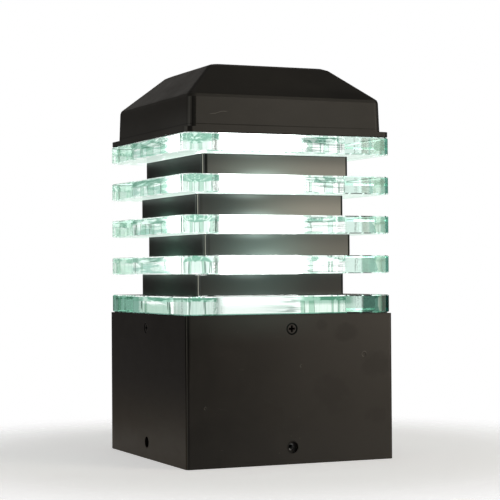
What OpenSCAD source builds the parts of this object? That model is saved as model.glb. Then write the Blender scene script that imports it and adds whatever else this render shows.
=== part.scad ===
// Square gate light: a folded steel base, five glass plates parted by black spacer
// frames, and a hipped cap, clamped together by four long bolts round a screw-in bulb.
// Millimetres, Z up. The origin is the middle of the underside and -Y is the front.

/* [Base skirt] */
// Outer side of the square base
base_w = 150; // [146:1:160]
// Height of the base
base_h = 98.5; // [94:0.5:115]
// Thickness of the base's steel sheet
skirt_t = 1.5; // [1.2:0.1:2]
// Outer radius of the base's folded corners
skirt_bend_r = 2.2; // [2.1:0.1:4]
// Diameter of the fixing hole low in each side
fixing_hole_d = 7.5; // [6:0.5:9]
// Height of the fixing holes' centres above the underside
fixing_hole_z = 11.2; // [10:0.2:14]
// Distance of the side screws' centres below the base's top edge
side_screw_drop = 9.3; // [8:0.1:12]
// Head diameter of the countersunk side screws
side_screw_head_d = 6.7; // [6:0.1:7.4]

/* [Deck pan] */
// Thickness of the pan's steel sheet
pan_t = 1.5; // [1.2:0.1:2]
// Depth of the pan's folded flanges
pan_flange_h = 18; // [16:1:24]
// Distance from the base's faces to the round opening that the bulb passes
pan_rim = 30; // [28:0.5:34]

/* [Glass plates] */
// Distance that the glass plates stand back from the base's faces
plate_setback = 0; // [-1:0.1:3]
// Thickness of the glass
plate_t = 12; // [10:1:15]
// Radius of the plates' outer corners
plate_corner_r = 6; // [3:0.5:12]
// Width of the glass between a plate's edge and its square opening
plate_rim = 26; // [25.8:0.1:26.5]
// Radius in the corners of that opening
plate_opening_r = 4; // [3:0.2:4.4]
// Width of the ground bevel along the plates' edges
plate_bevel = 0.7; // [0.4:0.1:1.2]

/* [Spacer frames] */
// Distance from the plates' edges to the spacer frames' faces
spacer_setback = 21; // [20:0.1:21.2]
// Height of the spacer frames
spacer_h = 13.6; // [10:0.2:18]
// Thickness of the frames' steel strip
spacer_t = 1.5; // [1:0.1:2]
// Outer radius of the frames' three folded corners
spacer_bend_r = 2.2; // [2.1:0.1:4]
// Farthest that a frame was clamped off the middle
spacer_drift = 3.9; // [0:0.1:3.9]

/* [Seals] */
// Thickness of the rubber gaskets
gasket_t = 0.5; // [0.4:0.1:1]
// Width of the thin gaskets under and over the spacer frames
spacer_gasket_w = 1.5; // [1:0.1:1.5]
// Width of the gaskets on the deck and under the cap
rim_gasket_w = 8; // [4:0.5:10]

/* [Clamping bolts] */
// Distance from the sides of the plates' openings to the bolts' centres
bolt_inset = 3.5; // [3.3:0.1:4]
// Diameter of the bolts
bolt_d = 5; // [4:0.5:5]
// Width across the flats of the bolts' heads
bolt_head_af = 8; // [7:0.5:9]
// Length of the bolts' ends inside the cap's bosses
bolt_grip = 18; // [12:1:22]

/* [Cap] */
// Distance that the cap's flange stands back from the plates' edges
flange_setback = 0.5; // [0:0.1:3]
// Thickness of the cap's flange
flange_t = 3.3; // [2.5:0.1:5]
// Radius of the flange's corners
flange_r = 5; // [4:0.5:8]
// Width of the ledge that the flange leaves outside the cap's walls
flange_ledge = 3.8; // [2:0.1:6]
// Distance that the walls draw in on each side up to the eave
eave_inset = 0.7; // [0.3:0.1:2]
// Radius of the cap's upright corners
cap_corner_r = 5; // [4:0.5:7]
// Height of the eave above the flange's underside
eave_h = 27.2; // [24:0.2:32]
// Height of the flat top above the flange's underside
roof_h = 48.6; // [44:0.2:56]
// Width that each sloping side of the roof covers, seen from above
roof_run = 27; // [20:0.5:32]
// Thickness of the cast walls
cap_t = 2.4; // [2:0.1:3]
// Diameter of the bosses that take the bolts
boss_d = 11; // [9:0.5:14]

/* [Bulb] */
// Diameter of the bulb's opal globe
globe_d = 72; // [60:1:74]
// Height of the globe's top above the deck
globe_rise = 130; // [110:1:134]
// Diameter of the bulb's screw cap
screw_cap_d = 26.4; // [26.2:0.1:26.6]

/* [Bulb holder] */
// Diameter of the holder's body
holder_d = 42; // [40:1:46]
// Height of the holder's body
holder_h = 44; // [40:1:48]
// Depth of the bridge that hangs the holder below the deck
bridge_drop = 53; // [50:0.5:56]
// Width of the bridge's strip
bridge_w = 28; // [20:1:34]

/* [Mounting bracket] */
// Thickness of the bracket's steel sheet
bracket_t = 2; // [1.5:0.1:2.5]
// Gap between the bracket's tabs and the inside of the base
bracket_gap = 0.5; // [0.3:0.1:1]
// Height of the bracket's four tabs
tab_h = 19; // [17:0.5:22]
// Width of the bracket's four tabs
tab_w = 26; // [18:1:34]
// Distance from the base's faces to the anchor holes' centres
anchor_inset = 30; // [26:0.5:38]
// Diameter of the anchor holes
anchor_hole_d = 7; // [6:0.5:9]
// Diameter of the hole that takes the cable grommet
grommet_seat_d = 22; // [18:1:28]
// Diameter of the grommet's own hole
cable_hole_d = 10; // [7:0.5:13]

/* [Wiring] */
// Distance between the ways of the terminal block
way_pitch = 10; // [9:0.5:11]
// Outer diameter of the insulated leads
lead_d = 2.6; // [2:0.1:3]
// Radius of the leads' bends
lead_bend_r = 6; // [4:0.5:7]

/* [Hidden] */
$fn = 64;

// Cuts run past the faces that they leave by this much
overrun = 1;
// Gap of pieces that are screwed or pushed together
fit = 0.05;
// Gap of the deck pan inside the base
pan_gap = 0.3;
// Turning gap of the bulb in its holder
turn_gap = 0.06;
// Axial gap between the bulb's tip and the contact under it
tip_gap = 0.2;

// Counts that the list of nodes is made for
plate_count = 5;
spacer_count = 4;
// Each frame's place off the middle, as shares of the drift: to the right and to the back
drift_shares = [[-1, 0.42], [0.13, -0.05], [-1, 0.42], [-0.2, 0.08]];

// Open joint between a frame's two ends, at the near left corner
spacer_seam = 0.4;
// Width of the deck pan's corner notches and radius of its folds
pan_notch = 12;
pan_bend_r = 2.5;
// Side screws: their thread, their length and how deep their heads sit in the sheet
side_screw_d = 3.5;
side_screw_l = 8;
side_screw_sink = 0.3;
// Cross recess of all cross-head screws, as shares of the head's diameter and height
recess_span_share = 0.56;
recess_width_share = 0.14;
recess_depth_share = 0.6;
// Slot of the terminal screws, as a share of their diameter
slot_share = 0.22;
// Inset of the rim gaskets from the edges they seal
rim_gasket_inset = 1;
// Air film between a gasket and the glass or metal beside it
gasket_film = 0.03;
// Height of the bolts' heads, washers' sizes and the holes that the bolts pass
bolt_head_h = 3.5;
washer_d = 10;
washer_t = 1;
bolt_hole_d = 5.5;
// Height of the bosses' lower ends above the flange's underside
boss_lift = 2;
// Length of thread left below a bolt's end in its boss
boss_spare = 3;
// Radius that rounds the eave and the edge of the flat top
eave_r = 4;
roof_edge_r = 3;
// Pan-head screws of the bridge, the holder, the block and the earth
small_screw_d = 4;
small_head_d = 7.6;
small_head_h = 2.6;
// Distance from the base's faces to the bridge's legs and the length of its feet
bridge_setback = 27;
bridge_foot = 15;
// The holder's floor, its bore and the rim round it
holder_floor = 12;
holder_bore_d = 30;
ear_reach = 32;
ear_w = 14;
ear_h = 6;
ear_screw_x = 27;
shell_t = 0.8;
shell_recess = 2;
contact_d = 9;
contact_t = 1;
lead_entry_h = 6;
lead_entry_d = 4;
lead_entry_depth = 6;
// The bulb's pieces from the tip up
tip_d = 9.5;
tip_h = 1.5;
insulator_h = 3;
insulator_top_d = 18;
screw_cap_cone_h = 3;
collar_d = 29;
collar_gap = 0.7;
flare_gap = 4.2;
flare_h = 12;
globe_t = 1.2;
globe_edge_r = 16;
board_t = 1.6;
// The bracket's cut corners, folds and nuts
bracket_corner_cut = 34;
bracket_bend_r = 3;
nut_af = 7;
nut_t = 3.2;
nut_thread_d = 3.3;
tab_hole_d = 4.6;
grommet_flange_d = 28;
grommet_flange_h = 2.5;
// The terminal block, and its distance from the base's back face
way_count = 3;
block_setback = 10;
block_depth = 16;
block_h = 14;
block_end = 5;
block_notch = 2;
block_notch_depth = 4;
barrel_d = 6;
barrel_bore_d = 3;
barrel_inset = 1.5;
terminal_screw_d = 2.8;
terminal_screw_inset = 0.6;
core_d = 1.4;
core_l = 5;
// The earth screw's distance from the block's end and from the base's back face, and its lug
earth_gap = 16;
earth_setback = 15;
lug_d = 9;
lug_t = 1;
lug_barrel_d = 4.4;
lug_barrel_l = 5;
earth_bend_r = 5;

// Sides of the squares, from the base's outward and inward steps
plate_w = base_w - 2 * plate_setback;
plate_opening_w = plate_w - 2 * plate_rim;
spacer_w = plate_w - 2 * spacer_setback;
bolt_spacing = plate_opening_w - 2 * bolt_inset;
flange_w = plate_w - 2 * flange_setback;
cap_wall_w = flange_w - 2 * flange_ledge;
eave_w = cap_wall_w - 2 * eave_inset;
roof_top_w = eave_w - 2 * roof_run;
pan_opening_d = base_w - 2 * pan_rim;
bridge_span = base_w - 2 * bridge_setback;
anchor_spacing = base_w - 2 * anchor_inset;

// Seats of the side screws
side_head_h = skirt_t - side_screw_sink;
side_seat_slope = (side_screw_head_d - side_screw_d) / side_head_h;
side_seat_d = side_screw_d + 2 * fit + side_seat_slope * skirt_t;

// Heights, from the ground up
deck_z = base_h;
deck_under_z = deck_z - pan_t;
pitch = plate_t + spacer_h + 2 * gasket_t;
function plate_z(i) = deck_z + gasket_t + i * pitch;
function frame_z(i) = plate_z(i) + plate_t + gasket_t;
cap_z = plate_z(plate_count) - spacer_h - gasket_t;
holder_z = deck_under_z - bridge_drop;
holder_top = holder_z + holder_h;
contact_z = holder_z + holder_floor;
shell_top = holder_top - shell_recess;
tip_z = contact_z + contact_t + tip_gap;
insulator_z = tip_z + tip_h;
screw_cap_z = insulator_z + insulator_h;
collar_z = shell_top + collar_gap;
flare_z = holder_top + flare_gap;
globe_z = flare_z + flare_h;
globe_top = deck_z + globe_rise;
way_z = deck_under_z - block_h / 2;

// Places of the terminal block and the earth screw
block_y = base_w / 2 - block_setback - block_depth / 2;
block_face_y = block_y - block_depth / 2;
block_w = way_count * way_pitch + 2 * block_end - way_pitch + barrel_d;
earth_x = block_w / 2 + earth_gap;
earth_y = base_w / 2 - earth_setback;

// Flat square with round corners, centred
module rounded_square(w, r) {
    square([w - 2 * r, w], center = true);
    square([w, w - 2 * r], center = true);
    for (sx = [-1, 1], sy = [-1, 1])
        translate([sx * (w / 2 - r), sy * (w / 2 - r)])
            circle(r);
}

// Square gasket lying flat, with a film of air above and below it
module flat_gasket(w, strip, r) {
    translate([0, 0, gasket_film])
        linear_extrude(gasket_t - 2 * gasket_film)
            difference() {
                rounded_square(w, r);
                square(w - 2 * strip, center = true);
            }
}

// Repeats its child on the four sides, starting with the front
module on_each_side() {
    for (turn = [0 : 90 : 270])
        rotate([0, 0, turn])
            children();
}

// Puts its child at the four bolts
module at_each_bolt() {
    for (sx = [-1, 1], sy = [-1, 1])
        translate([sx * bolt_spacing / 2, sy * bolt_spacing / 2, 0])
            children();
}

// Sheet edge folded down: the outer face is at y = 0, the top face at z = 0, metal towards +Y
module folded_edge(length, t, r, drop) {
    rotate([90, 0, 90])
        translate([0, 0, -length / 2])
            linear_extrude(length) {
                translate([r, -r])
                    intersection() {
                        difference() {
                            circle(r);
                            circle(r - t);
                        }
                        translate([-r, 0])
                            square(r);
                    }
                translate([0, -drop])
                    square([t, drop - r]);
            }
}

// Disc with both rims bevelled
module bevelled_disc(r, t, bevel) {
    rotate_extrude()
        polygon([[0, 0], [r - bevel, 0], [r, bevel], [r, t - bevel], [r - bevel, t], [0, t]]);
}

// Square glass blank with round corners and bevelled edges
module bevelled_blank(w, r, t, bevel) {
    half = w / 2;
    section = [
        [bevel - half, 0], [half - bevel, 0], [half, bevel], [half, t - bevel],
        [half - bevel, t], [bevel - half, t], [-half, t - bevel], [-half, bevel],
    ];
    for (turn = [0, 90])
        rotate([90, 0, turn])
            translate([0, 0, r - half])
                linear_extrude(w - 2 * r)
                    polygon(section);
    for (sx = [-1, 1], sy = [-1, 1])
        translate([sx * (half - r), sy * (half - r), 0])
            bevelled_disc(r, t, bevel);
}

// Cross recess cut down into a head whose top is at z = 0
module cross_recess(head_d, head_h) {
    span = head_d * recess_span_share;
    width = head_d * recess_width_share;
    depth = head_h * recess_depth_share;
    for (turn = [0, 90])
        rotate([0, 0, turn])
            translate([-span / 2, -width / 2, -depth])
                cube([span, width, depth + overrun]);
}

// Cross-head screw with a flat conical head, its top at z = 0 and its shank along -Z
module countersunk_screw(d, head_d, head_h, length) {
    difference() {
        union() {
            translate([0, 0, -head_h])
                cylinder(h = head_h, d1 = d, d2 = head_d);
            translate([0, 0, -length])
                cylinder(h = length, d = d);
        }
        cross_recess(head_d, head_h);
    }
}

// Cross-head screw with a pan head above z = 0 and its shank along -Z
module pan_head_screw(d, head_d, head_h, length) {
    difference() {
        union() {
            rotate_extrude()
                polygon([
                    [0, 0], [head_d / 2, 0], [head_d / 2, head_h / 2],
                    [head_d / 2 - head_h / 2, head_h], [0, head_h],
                ]);
            translate([0, 0, -length])
                cylinder(h = length + head_h / 2, d = d);
        }
        translate([0, 0, head_h])
            cross_recess(head_d, head_h);
    }
}

// Quarter bend of round wire: starts at the origin along +Y and ends along +X at (r, r)
module wire_bend(d, r) {
    translate([r, 0, 0])
        rotate([0, 0, 90])
            rotate_extrude(angle = 90)
                translate([r, 0])
                    circle(d = d);
}

// Round wire along +Y from the origin
module wire_run(d, length) {
    rotate([-90, 0, 0])
        cylinder(h = length, d = d);
}

module mounting_bracket() {
    tab_face = base_w / 2 - skirt_t - bracket_gap;
    color("silver")
        difference() {
            union() {
                linear_extrude(bracket_t)
                    intersection() {
                        square(2 * (tab_face - bracket_bend_r), center = true);
                        rotate([0, 0, 45])
                            square(sqrt(2) * (2 * tab_face - bracket_corner_cut), center = true);
                    }
                on_each_side()
                    translate([0, -tab_face, 0])
                        mirror([0, 0, 1])
                            folded_edge(tab_w, bracket_t, bracket_bend_r, tab_h);
            }
            on_each_side()
                translate([0, overrun - tab_face + bracket_t, fixing_hole_z])
                    rotate([90, 0, 0])
                        cylinder(h = bracket_t + 2 * overrun, d = tab_hole_d);
            for (sx = [-1, 1], sy = [-1, 1])
                translate([sx * anchor_spacing / 2, sy * anchor_spacing / 2, -overrun])
                    cylinder(h = bracket_t + 2 * overrun, d = anchor_hole_d);
            translate([0, 0, -overrun])
                cylinder(h = bracket_t + 2 * overrun, d = grommet_seat_d);
        }
}

// Hexagon nuts welded behind the tabs' holes
module bracket_nuts() {
    nut_face = base_w / 2 - skirt_t - bracket_gap - bracket_t;
    color("gainsboro")
        on_each_side()
            translate([0, nut_t - nut_face, fixing_hole_z])
                rotate([90, 0, 0])
                    difference() {
                        cylinder(h = nut_t, d = nut_af / cos(30), $fn = 6);
                        translate([0, 0, -overrun])
                            cylinder(h = nut_t + 2 * overrun, d = nut_thread_d);
                    }
}

// Push-in rubber bush round the supply's hole
module cable_grommet() {
    color("#202020")
        difference() {
            union() {
                cylinder(h = bracket_t, d = grommet_seat_d - 2 * fit);
                translate([0, 0, bracket_t])
                    cylinder(h = grommet_flange_h, d = grommet_flange_d);
            }
            translate([0, 0, -overrun])
                cylinder(h = bracket_t + grommet_flange_h + 2 * overrun, d = cable_hole_d);
        }
}

module base_skirt() {
    color("#24211e")
        difference() {
            linear_extrude(base_h)
                rounded_square(base_w, skirt_bend_r);
            translate([0, 0, -overrun])
                linear_extrude(base_h + 2 * overrun)
                    rounded_square(base_w - 2 * skirt_t, skirt_bend_r - skirt_t);
            on_each_side() {
                translate([0, skirt_t + overrun - base_w / 2, fixing_hole_z])
                    rotate([90, 0, 0])
                        cylinder(h = skirt_t + 2 * overrun, d = fixing_hole_d);
                translate([0, skirt_t - base_w / 2, base_h - side_screw_drop])
                    rotate([90, 0, 0]) {
                        translate([0, 0, -overrun])
                            cylinder(h = 2 * overrun, d = side_screw_d + 2 * fit);
                        cylinder(h = skirt_t, d1 = side_screw_d + 2 * fit, d2 = side_seat_d);
                        translate([0, 0, skirt_t])
                            cylinder(h = overrun, d = side_seat_d);
                    }
            }
        }
}

// Folded pan that closes the base and carries the stack, the bridge and the terminals
module deck_pan() {
    pan_w = base_w - 2 * skirt_t - 2 * pan_gap;
    color("#2a2724")
        difference() {
            union() {
                translate([0, 0, deck_under_z])
                    linear_extrude(pan_t)
                        square(pan_w - 2 * pan_bend_r, center = true);
                on_each_side()
                    translate([0, -pan_w / 2, deck_z])
                        folded_edge(pan_w - 2 * pan_notch, pan_t, pan_bend_r, pan_flange_h);
            }
            translate([0, 0, deck_under_z - overrun]) {
                cylinder(h = pan_t + 2 * overrun, d = pan_opening_d);
                at_each_bolt()
                    cylinder(h = pan_t + 2 * overrun, d = bolt_hole_d);
                for (sx = [-1, 1])
                    translate([sx * bridge_screw_x(), 0, 0])
                        cylinder(h = pan_t + 2 * overrun, d = small_screw_d + 2 * fit);
                for (sx = [-1, 1])
                    translate([sx * block_screw_x(), block_y, 0])
                        cylinder(h = pan_t + 2 * overrun, d = terminal_screw_d + 2 * fit);
                translate([earth_x, earth_y, 0])
                    cylinder(h = pan_t + 2 * overrun, d = small_screw_d + 2 * fit);
            }
            on_each_side()
                translate([0, pan_t + overrun - pan_w / 2, deck_z - side_screw_drop])
                    rotate([90, 0, 0])
                        cylinder(h = pan_t + 2 * overrun, d = side_screw_d + 2 * fit);
        }
}

module side_screws() {
    color("#1c1a18")
        on_each_side()
            translate([0, side_screw_sink - base_w / 2, base_h - side_screw_drop])
                rotate([90, 0, 0])
                    countersunk_screw(side_screw_d, side_screw_head_d, side_head_h, side_screw_l);
}

module deck_gasket() {
    color("#141414")
        translate([0, 0, deck_z])
            flat_gasket(min(base_w, plate_w) - 2 * rim_gasket_inset, rim_gasket_w, plate_corner_r);
}

module glass_plate(i) {
    color("#a9dccb", 0.6)
        translate([0, 0, plate_z(i)])
            difference() {
                bevelled_blank(plate_w, plate_corner_r, plate_t, plate_bevel);
                translate([0, 0, -overrun])
                    linear_extrude(plate_t + 2 * overrun)
                        rounded_square(plate_opening_w, plate_opening_r);
            }
}

// Steel strip folded to a square, its ends meeting at the near left corner
module spacer_frame(i) {
    shift = drift_shares[i] * spacer_drift;
    color("#2c2a27")
        translate([shift[0], shift[1], frame_z(i)])
            difference() {
                linear_extrude(spacer_h)
                    difference() {
                        union() {
                            rounded_square(spacer_w, spacer_bend_r);
                            translate([-spacer_w / 2, -spacer_w / 2])
                                square(spacer_bend_r);
                        }
                        rounded_square(spacer_w - 2 * spacer_t, spacer_bend_r - spacer_t);
                    }
                translate([spacer_t - spacer_w / 2, -spacer_w / 2 - overrun, -overrun])
                    cube([spacer_seam, spacer_t + 2 * overrun, spacer_h + 2 * overrun]);
            }
}

// Thin seals above and below every spacer frame
module spacer_gaskets() {
    color("#141414")
        for (i = [0 : spacer_count - 1]) {
            shift = drift_shares[i] * spacer_drift;
            translate([shift[0], shift[1], 0]) {
                translate([0, 0, frame_z(i) - gasket_t])
                    flat_gasket(spacer_w, spacer_gasket_w, spacer_bend_r);
                translate([0, 0, frame_z(i) + spacer_h])
                    flat_gasket(spacer_w, spacer_gasket_w, spacer_bend_r);
            }
        }
}

module cap_gasket() {
    color("#141414")
        translate([0, 0, cap_z - gasket_t])
            flat_gasket(min(flange_w, plate_w) - 2 * rim_gasket_inset, rim_gasket_w, flange_r);
}

// One thin level of the cap's outline
module cap_level(w, r, z) {
    translate([0, 0, z])
        linear_extrude(skin)
            rounded_square(w, r);
}

// Thickness of a level that a hull joins to the next
skin = 0.01;

// Walls and hipped roof above the flange, drawn in by inset all round
module cap_form(inset) {
    slope = roof_run / (roof_h - eave_h);
    hull($fn = 32) {
        cap_level(cap_wall_w - 2 * inset, max(cap_corner_r - inset, skin), 0);
        for (turn = [0 : 30 : 60])
            cap_level(
                eave_w - 2 * inset - 2 * eave_r * (1 - cos(turn)),
                max(cap_corner_r - inset, skin),
                eave_h - inset - eave_r * (1 - sin(turn))
            );
        cap_level(
            roof_top_w + slope * roof_edge_r - 2 * inset,
            cap_corner_r,
            roof_h - inset - roof_edge_r / 2
        );
        cap_level(roof_top_w - roof_edge_r - 2 * inset, cap_corner_r, roof_h - inset - skin);
    }
}

module cap() {
    color("#26231f")
        translate([0, 0, cap_z])
            difference() {
                union() {
                    linear_extrude(flange_t)
                        rounded_square(flange_w, flange_r);
                    cap_form(0);
                }
                difference() {
                    translate([0, 0, -overrun])
                        cap_hollow();
                    at_each_bolt()
                        translate([0, 0, boss_lift])
                            cylinder(h = roof_h, d = boss_d);
                }
                at_each_bolt()
                    translate([0, 0, -overrun])
                        cylinder(h = bolt_grip + boss_spare + overrun, d = bolt_d + 2 * fit);
            }
}

// Hollow of the cap, open below
module cap_hollow() {
    linear_extrude(2 * overrun)
        rounded_square(cap_wall_w - 2 * cap_t, cap_corner_r - cap_t);
    translate([0, 0, overrun])
        cap_form(cap_t);
}

// Long bolts from under the deck into the cap's bosses
module clamping_bolts() {
    color("lightgray")
        at_each_bolt() {
            translate([0, 0, deck_under_z - washer_t - bolt_head_h])
                cylinder(h = bolt_head_h, d = bolt_head_af / cos(30), $fn = 6);
            translate([0, 0, deck_under_z - washer_t])
                cylinder(h = cap_z + bolt_grip - deck_under_z + washer_t, d = bolt_d);
        }
}

module bolt_washers() {
    color("gainsboro")
        at_each_bolt()
            translate([0, 0, deck_under_z - washer_t])
                difference() {
                    cylinder(h = washer_t, d = washer_d);
                    translate([0, 0, -overrun])
                        cylinder(h = washer_t + 2 * overrun, d = bolt_hole_d);
                }
}

function bridge_screw_x() = bridge_span / 2 + bridge_foot / 2;
function block_screw_x() = way_pitch / 2;

// Hat-shaped strip that hangs the holder below the deck
module holder_bridge() {
    color("silver")
        difference() {
            translate([0, bridge_w / 2, 0])
                rotate([90, 0, 0])
                    linear_extrude(bridge_w) {
                        translate([-bridge_span / 2, holder_z - pan_t])
                            square([bridge_span, pan_t]);
                        for (side = [0, 1])
                            mirror([side, 0]) {
                                translate([bridge_span / 2 - pan_t, holder_z - pan_t])
                                    square([pan_t, deck_under_z - holder_z + pan_t]);
                                translate([bridge_span / 2 - pan_t, deck_under_z - pan_t])
                                    square([bridge_foot + pan_t, pan_t]);
                            }
                    }
            for (sx = [-1, 1]) {
                translate([sx * bridge_screw_x(), 0, deck_under_z - pan_t - overrun])
                    cylinder(h = pan_t + 2 * overrun, d = small_screw_d + 2 * fit);
                translate([sx * ear_screw_x, 0, holder_z - pan_t - overrun])
                    cylinder(h = pan_t + 2 * overrun, d = small_screw_d + 2 * fit);
            }
        }
}

module bridge_screws() {
    color("gainsboro")
        for (sx = [-1, 1])
            translate([sx * bridge_screw_x(), 0, deck_under_z - pan_t])
                rotate([180, 0, 0])
                    pan_head_screw(small_screw_d, small_head_d, small_head_h, 2 * pan_t - fit);
}

// Ceramic body of the bulb holder
module holder_body() {
    color("ivory")
        translate([0, 0, holder_z])
            difference() {
                union() {
                    cylinder(h = holder_h, d = holder_d);
                    for (sx = [-1, 1])
                        translate([sx * (ear_reach - ear_w / 2), 0, 0])
                            cylinder(h = ear_h, d = ear_w);
                    translate([ear_w / 2 - ear_reach, -ear_w / 2, 0])
                        cube([2 * ear_reach - ear_w, ear_w, ear_h]);
                }
                translate([0, 0, holder_floor])
                    cylinder(h = holder_h, d = holder_bore_d);
                for (sx = [-1, 1])
                    translate([sx * ear_screw_x, 0, -overrun])
                        cylinder(h = ear_h + 2 * overrun, d = small_screw_d + 2 * fit);
                for (way = [-1, 0])
                    translate([way * way_pitch, lead_entry_y(way) - lead_entry_depth, lead_entry_h])
                        wire_run(lead_entry_d, holder_d);
            }
}

// Where a way's lead meets the round side of the holder
function lead_entry_y(way) = sqrt(pow(holder_d / 2, 2) - pow(way * way_pitch, 2));

// Brass thread sleeve that the bulb screws into
module holder_shell() {
    outer = screw_cap_d / 2 + turn_gap + shell_t;
    color("goldenrod")
        translate([0, 0, contact_z])
            difference() {
                union() {
                    cylinder(h = shell_top - contact_z, r = outer);
                    cylinder(h = shell_t, d = holder_bore_d - 2 * fit);
                }
                translate([0, 0, shell_t])
                    cylinder(h = holder_h, d = screw_cap_d + 2 * turn_gap);
                translate([0, 0, -overrun])
                    cylinder(h = shell_t + 2 * overrun, d = contact_d + 2 * contact_t);
            }
}

module holder_contact() {
    color("gold")
        translate([0, 0, contact_z])
            cylinder(h = contact_t, d = contact_d);
}

module holder_screws() {
    color("gainsboro")
        for (sx = [-1, 1])
            translate([sx * ear_screw_x, 0, holder_z + ear_h])
                pan_head_screw(small_screw_d, small_head_d, small_head_h, ear_h + pan_t);
}

// Three-way block under the deck
module terminal_block() {
    color("ivory")
        difference() {
            translate([-block_w / 2, block_face_y, deck_under_z - block_h])
                cube([block_w, block_depth, block_h]);
            for (way = [-1 : 1])
                translate([way * way_pitch, block_face_y, way_z]) {
                    translate([0, -overrun, 0])
                        wire_run(lead_d + 2 * fit, block_depth + 2 * overrun);
                    translate([0, barrel_inset, 0])
                        wire_run(barrel_d + 2 * fit, block_depth - 2 * barrel_inset);
                    translate([0, block_depth / 2, deck_under_z - block_h - way_z - overrun])
                        cylinder(h = block_h / 2 + overrun, d = terminal_screw_d + 2 * fit);
                }
            for (sx = [-1, 1])
                translate([sx * block_screw_x(), block_y, deck_under_z - block_h - overrun]) {
                    cylinder(h = block_h + 2 * overrun, d = terminal_screw_d + 2 * fit);
                    for (turn = [0, 180])
                        rotate([0, 0, turn])
                            translate([-block_notch / 2, block_depth / 2 - block_notch_depth, 0])
                                cube([block_notch, block_notch_depth + overrun, block_h + 2 * overrun]);
                }
        }
}

module terminal_barrels() {
    color("goldenrod")
        for (way = [-1 : 1])
            translate([way * way_pitch, block_face_y + barrel_inset, way_z])
                difference() {
                    wire_run(barrel_d, block_depth - 2 * barrel_inset);
                    translate([0, -overrun, 0])
                        wire_run(barrel_bore_d, block_depth);
                    translate([0, block_depth / 2 - barrel_inset, -barrel_d])
                        cylinder(h = barrel_d, d = terminal_screw_d + 2 * fit);
                }
}

// Slotted screws that clamp the leads, turned in from below
module terminal_screws() {
    color("gainsboro")
        for (way = [-1 : 1])
            translate([way * way_pitch, block_y, deck_under_z - block_h + terminal_screw_inset])
                difference() {
                    cylinder(h = (block_h - core_d) / 2 - terminal_screw_inset - fit, d = terminal_screw_d);
                    translate([-terminal_screw_d, -slot_share * terminal_screw_d / 2, -overrun])
                        cube([
                            2 * terminal_screw_d,
                            slot_share * terminal_screw_d,
                            overrun + terminal_screw_inset,
                        ]);
                }
}

module block_screws() {
    color("gainsboro")
        for (sx = [-1, 1])
            translate([sx * block_screw_x(), block_y, deck_under_z - block_h])
                rotate([180, 0, 0])
                    pan_head_screw(
                        terminal_screw_d, 2 * terminal_screw_d - 2 * fit, small_head_h,
                        block_h + pan_t - fit
                    );
}

// Lead from a way of the block, down beside the holder and into its foot
module holder_lead(way, tint) {
    end_z = holder_z + lead_entry_h;
    start_run = fit + lead_d;
    drop = way_z - end_z - 2 * lead_bend_r;
    end_y = block_face_y - start_run - 2 * lead_bend_r;
    entry_y = lead_entry_y(way) + fit;
    color(tint)
        translate([way * way_pitch, 0, 0]) {
            translate([0, block_face_y - fit, way_z])
                rotate([0, 0, 180]) {
                    wire_run(lead_d, start_run - fit);
                    translate([0, start_run - fit, 0])
                        rotate([0, 90, 0])
                            wire_bend(lead_d, lead_bend_r);
                }
            translate([0, block_face_y - 2 * fit, way_z])
                wire_run(core_d, core_l + block_depth / 4);
            translate([0, block_face_y - start_run - lead_bend_r, end_z + lead_bend_r])
                cylinder(h = drop, d = lead_d);
            translate([0, end_y, end_z])
                rotate([0, -90, 0])
                    wire_bend(lead_d, lead_bend_r);
            translate([0, entry_y, end_z])
                wire_run(lead_d, end_y - entry_y);
            translate([0, entry_y - core_l, end_z])
                wire_run(core_d, core_l + fit);
        }
}

module live_lead() {
    holder_lead(-1, "saddlebrown");
}

module neutral_lead() {
    holder_lead(0, "steelblue");
}

// Earth lead from the third way to the lug under the deck
module earth_lead() {
    run = earth_x - way_pitch - 2 * earth_bend_r;
    turn_y = block_face_y - fit - earth_bend_r;
    lug_y = earth_y - lug_d / 2 - lug_barrel_l - lug_t;
    color("yellowgreen") {
        translate([way_pitch, block_face_y - 2 * fit, way_z])
            wire_run(core_d, core_l + block_depth / 4);
        translate([way_pitch, block_face_y - fit, way_z])
            mirror([0, 1, 0])
                wire_bend(lead_d, earth_bend_r);
        translate([way_pitch + earth_bend_r, turn_y, way_z])
            rotate([0, 0, -90])
                wire_run(lead_d, run);
        translate([earth_x, turn_y + earth_bend_r, way_z])
            mirror([1, 0, 0])
                mirror([0, 1, 0])
                    wire_bend(lead_d, earth_bend_r);
        translate([earth_x, turn_y + earth_bend_r, way_z])
            wire_run(lead_d, lug_y - turn_y - earth_bend_r - fit);
        translate([earth_x, turn_y + earth_bend_r, way_z])
            wire_run(core_d, lug_y + lug_barrel_l - turn_y - earth_bend_r);
    }
}

// Crimped ring lug, stepped up to the deck's underside
module earth_lug() {
    lug_y = earth_y - lug_d / 2 - lug_barrel_l - lug_t;
    step_h = deck_under_z - way_z;
    color("gainsboro")
        translate([earth_x, 0, 0]) {
            translate([0, lug_y, way_z])
                difference() {
                    wire_run(lug_barrel_d, lug_barrel_l);
                    translate([0, -overrun, 0])
                        wire_run(core_d + 2 * fit, lug_barrel_l + 2 * overrun);
                }
            translate([-lug_barrel_d / 2, lug_y + lug_barrel_l, way_z - lug_barrel_d / 2])
                cube([lug_barrel_d, lug_t, step_h + lug_barrel_d / 2]);
            translate([0, 0, deck_under_z - lug_t])
                difference() {
                    union() {
                        translate([0, earth_y, 0])
                            cylinder(h = lug_t, d = lug_d);
                        translate([-lug_barrel_d / 2, earth_y - lug_d / 2 - lug_t, 0])
                            cube([lug_barrel_d, lug_d / 2, lug_t]);
                    }
                    translate([0, earth_y, -overrun])
                        cylinder(h = lug_t + 2 * overrun, d = small_screw_d + 2 * fit);
                }
        }
}

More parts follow.
